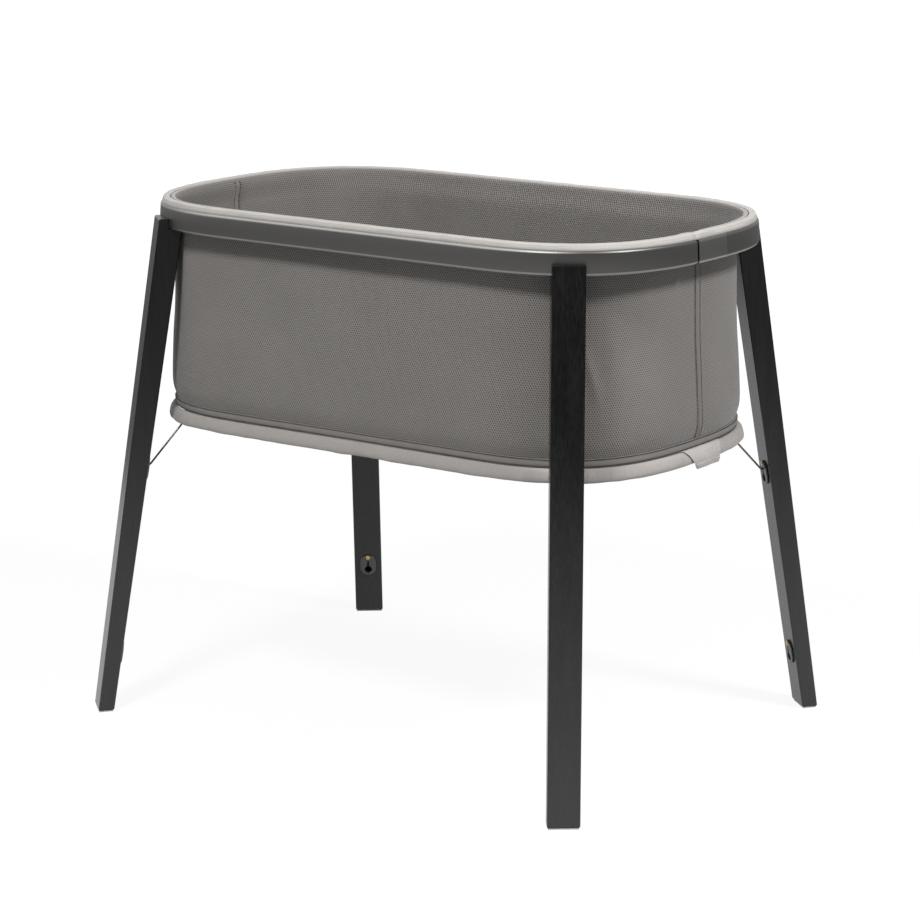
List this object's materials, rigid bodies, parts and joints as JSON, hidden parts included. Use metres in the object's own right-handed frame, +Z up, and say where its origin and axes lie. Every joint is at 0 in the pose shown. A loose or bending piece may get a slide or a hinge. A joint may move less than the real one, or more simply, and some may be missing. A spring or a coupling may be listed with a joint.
{
  "type": "bassinet",
  "caption": "Oval bassinet: a coated metal rim on splayed black legs holds a mesh basket with a firm base, a mattress and stay wires hooked into keyhole plates.",
  "frame": {"origin": "on the floor, at the centre between the feet", "axes": "+X along the long side towards the end with the rim's joint and the pull tab, +Z up, -Y towards the side seen in the picture"},
  "size_m": [0.897, 0.6888, 0.77],
  "materials": {
    "rim_metal": "satin dark grey coating",
    "cover_metal": "satin dark grey coating",
    "core_plastic": "matt black",
    "leg_wood": "satin black stain",
    "bracket_metal": "black coating",
    "bolt_steel": "blackened",
    "pad_rubber": "light grey",
    "plate_metal": "satin black coating",
    "screw_brass": "satin",
    "wire_steel": "drawn wire",
    "anchor_plastic": "matt black",
    "mesh_fabric": "warm grey spacer mesh",
    "hem_fabric": "light warm grey weave",
    "tape_fabric": "grey tape",
    "skirt_fabric": "light warm grey weave",
    "strap_fabric": "grey webbing",
    "hoop_metal": "bare",
    "board_wood": "plain ply",
    "mattress_fabric": "off-white cover"
  },
  "bodies": {
    "stand_and_basket": {"base_board": "board_wood", "base_hoop": "hoop_metal", "base_skirt": "skirt_fabric", "basket_wall": "mesh_fabric", "bottom_binding": "tape_fabric", "end_seam_joint": "tape_fabric", "end_seam_plain": "tape_fabric", "foot_pad_far_joint": "pad_rubber", "foot_pad_far_plain": "pad_rubber", "foot_pad_near_joint": "pad_rubber", "foot_pad_near_plain": "pad_rubber", "keyhole_plate_high_far_joint": "plate_metal", "keyhole_plate_high_far_plain": "plate_metal", "keyhole_plate_high_near_joint": "plate_metal", "keyhole_plate_high_near_plain": "plate_metal", "keyhole_plate_low_far_joint": "plate_metal", "keyhole_plate_low_far_plain": "plate_metal", "keyhole_plate_low_near_joint": "plate_metal", "keyhole_plate_low_near_plain": "plate_metal", "leg_bolt_far_joint": "bolt_steel", "leg_bolt_far_plain": "bolt_steel", "leg_bolt_near_joint": "bolt_steel", "leg_bolt_near_plain": "bolt_steel", "leg_bracket_far_joint": "bracket_metal", "leg_bracket_far_plain": "bracket_metal", "leg_bracket_near_joint": "bracket_metal", "leg_bracket_near_plain": "bracket_metal", "leg_far_joint": "leg_wood", "leg_far_plain": "leg_wood", "leg_near_joint": "leg_wood", "leg_near_plain": "leg_wood", "plate_screw_high_far_joint": "screw_brass", "plate_screw_high_far_plain": "screw_brass", "plate_screw_high_near_joint": "screw_brass", "plate_screw_high_near_plain": "screw_brass", "plate_screw_low_far_joint": "screw_brass", "plate_screw_low_far_plain": "screw_brass", "plate_screw_low_near_joint": "screw_brass", "plate_screw_low_near_plain": "screw_brass", "pull_tab": "strap_fabric", "rim_band": "rim_metal", "rim_joint_core": "core_plastic", "rim_joint_cover": "cover_metal", "stay_anchor_far_joint": "anchor_plastic", "stay_anchor_far_plain": "anchor_plastic", "stay_anchor_near_joint": "anchor_plastic", "stay_anchor_near_plain": "anchor_plastic", "stay_wire_far_joint": "wire_steel", "stay_wire_far_plain": "wire_steel", "stay_wire_near_joint": "wire_steel", "stay_wire_near_plain": "wire_steel", "top_hem": "hem_fabric"},
    "mattress": {"mattress": "mattress_fabric"},
    "wire_end_near_joint": {"wire_ball_near_joint": "wire_steel"},
    "wire_end_near_plain": {"wire_ball_near_plain": "wire_steel"},
    "wire_end_far_joint": {"wire_ball_far_joint": "wire_steel"},
    "wire_end_far_plain": {"wire_ball_far_plain": "wire_steel"}
  },
  "joints": [
    {"name": "mattress_lift", "type": "slide", "parent": "stand_and_basket", "child": "mattress", "axis": [0, 0, 1], "range_m": [0, 0.35]},
    {"name": "wire_unhook_near_joint", "type": "slide", "parent": "stand_and_basket", "child": "wire_end_near_joint", "axis": [0.0942, -0.1418, -0.9854], "range_m": [0, 0.0139], "deforming": ["stay_wire_near_joint"]},
    {"name": "wire_unhook_near_plain", "type": "slide", "parent": "stand_and_basket", "child": "wire_end_near_plain", "axis": [-0.0942, -0.1418, -0.9854], "range_m": [0, 0.0139], "deforming": ["stay_wire_near_plain"]},
    {"name": "wire_unhook_far_joint", "type": "slide", "parent": "stand_and_basket", "child": "wire_end_far_joint", "axis": [0.0942, 0.1418, -0.9854], "range_m": [0, 0.0139], "deforming": ["stay_wire_far_joint"]},
    {"name": "wire_unhook_far_plain", "type": "slide", "parent": "stand_and_basket", "child": "wire_end_far_plain", "axis": [-0.0942, 0.1418, -0.9854], "range_m": [0, 0.0139], "deforming": ["stay_wire_far_plain"]}
  ]
}
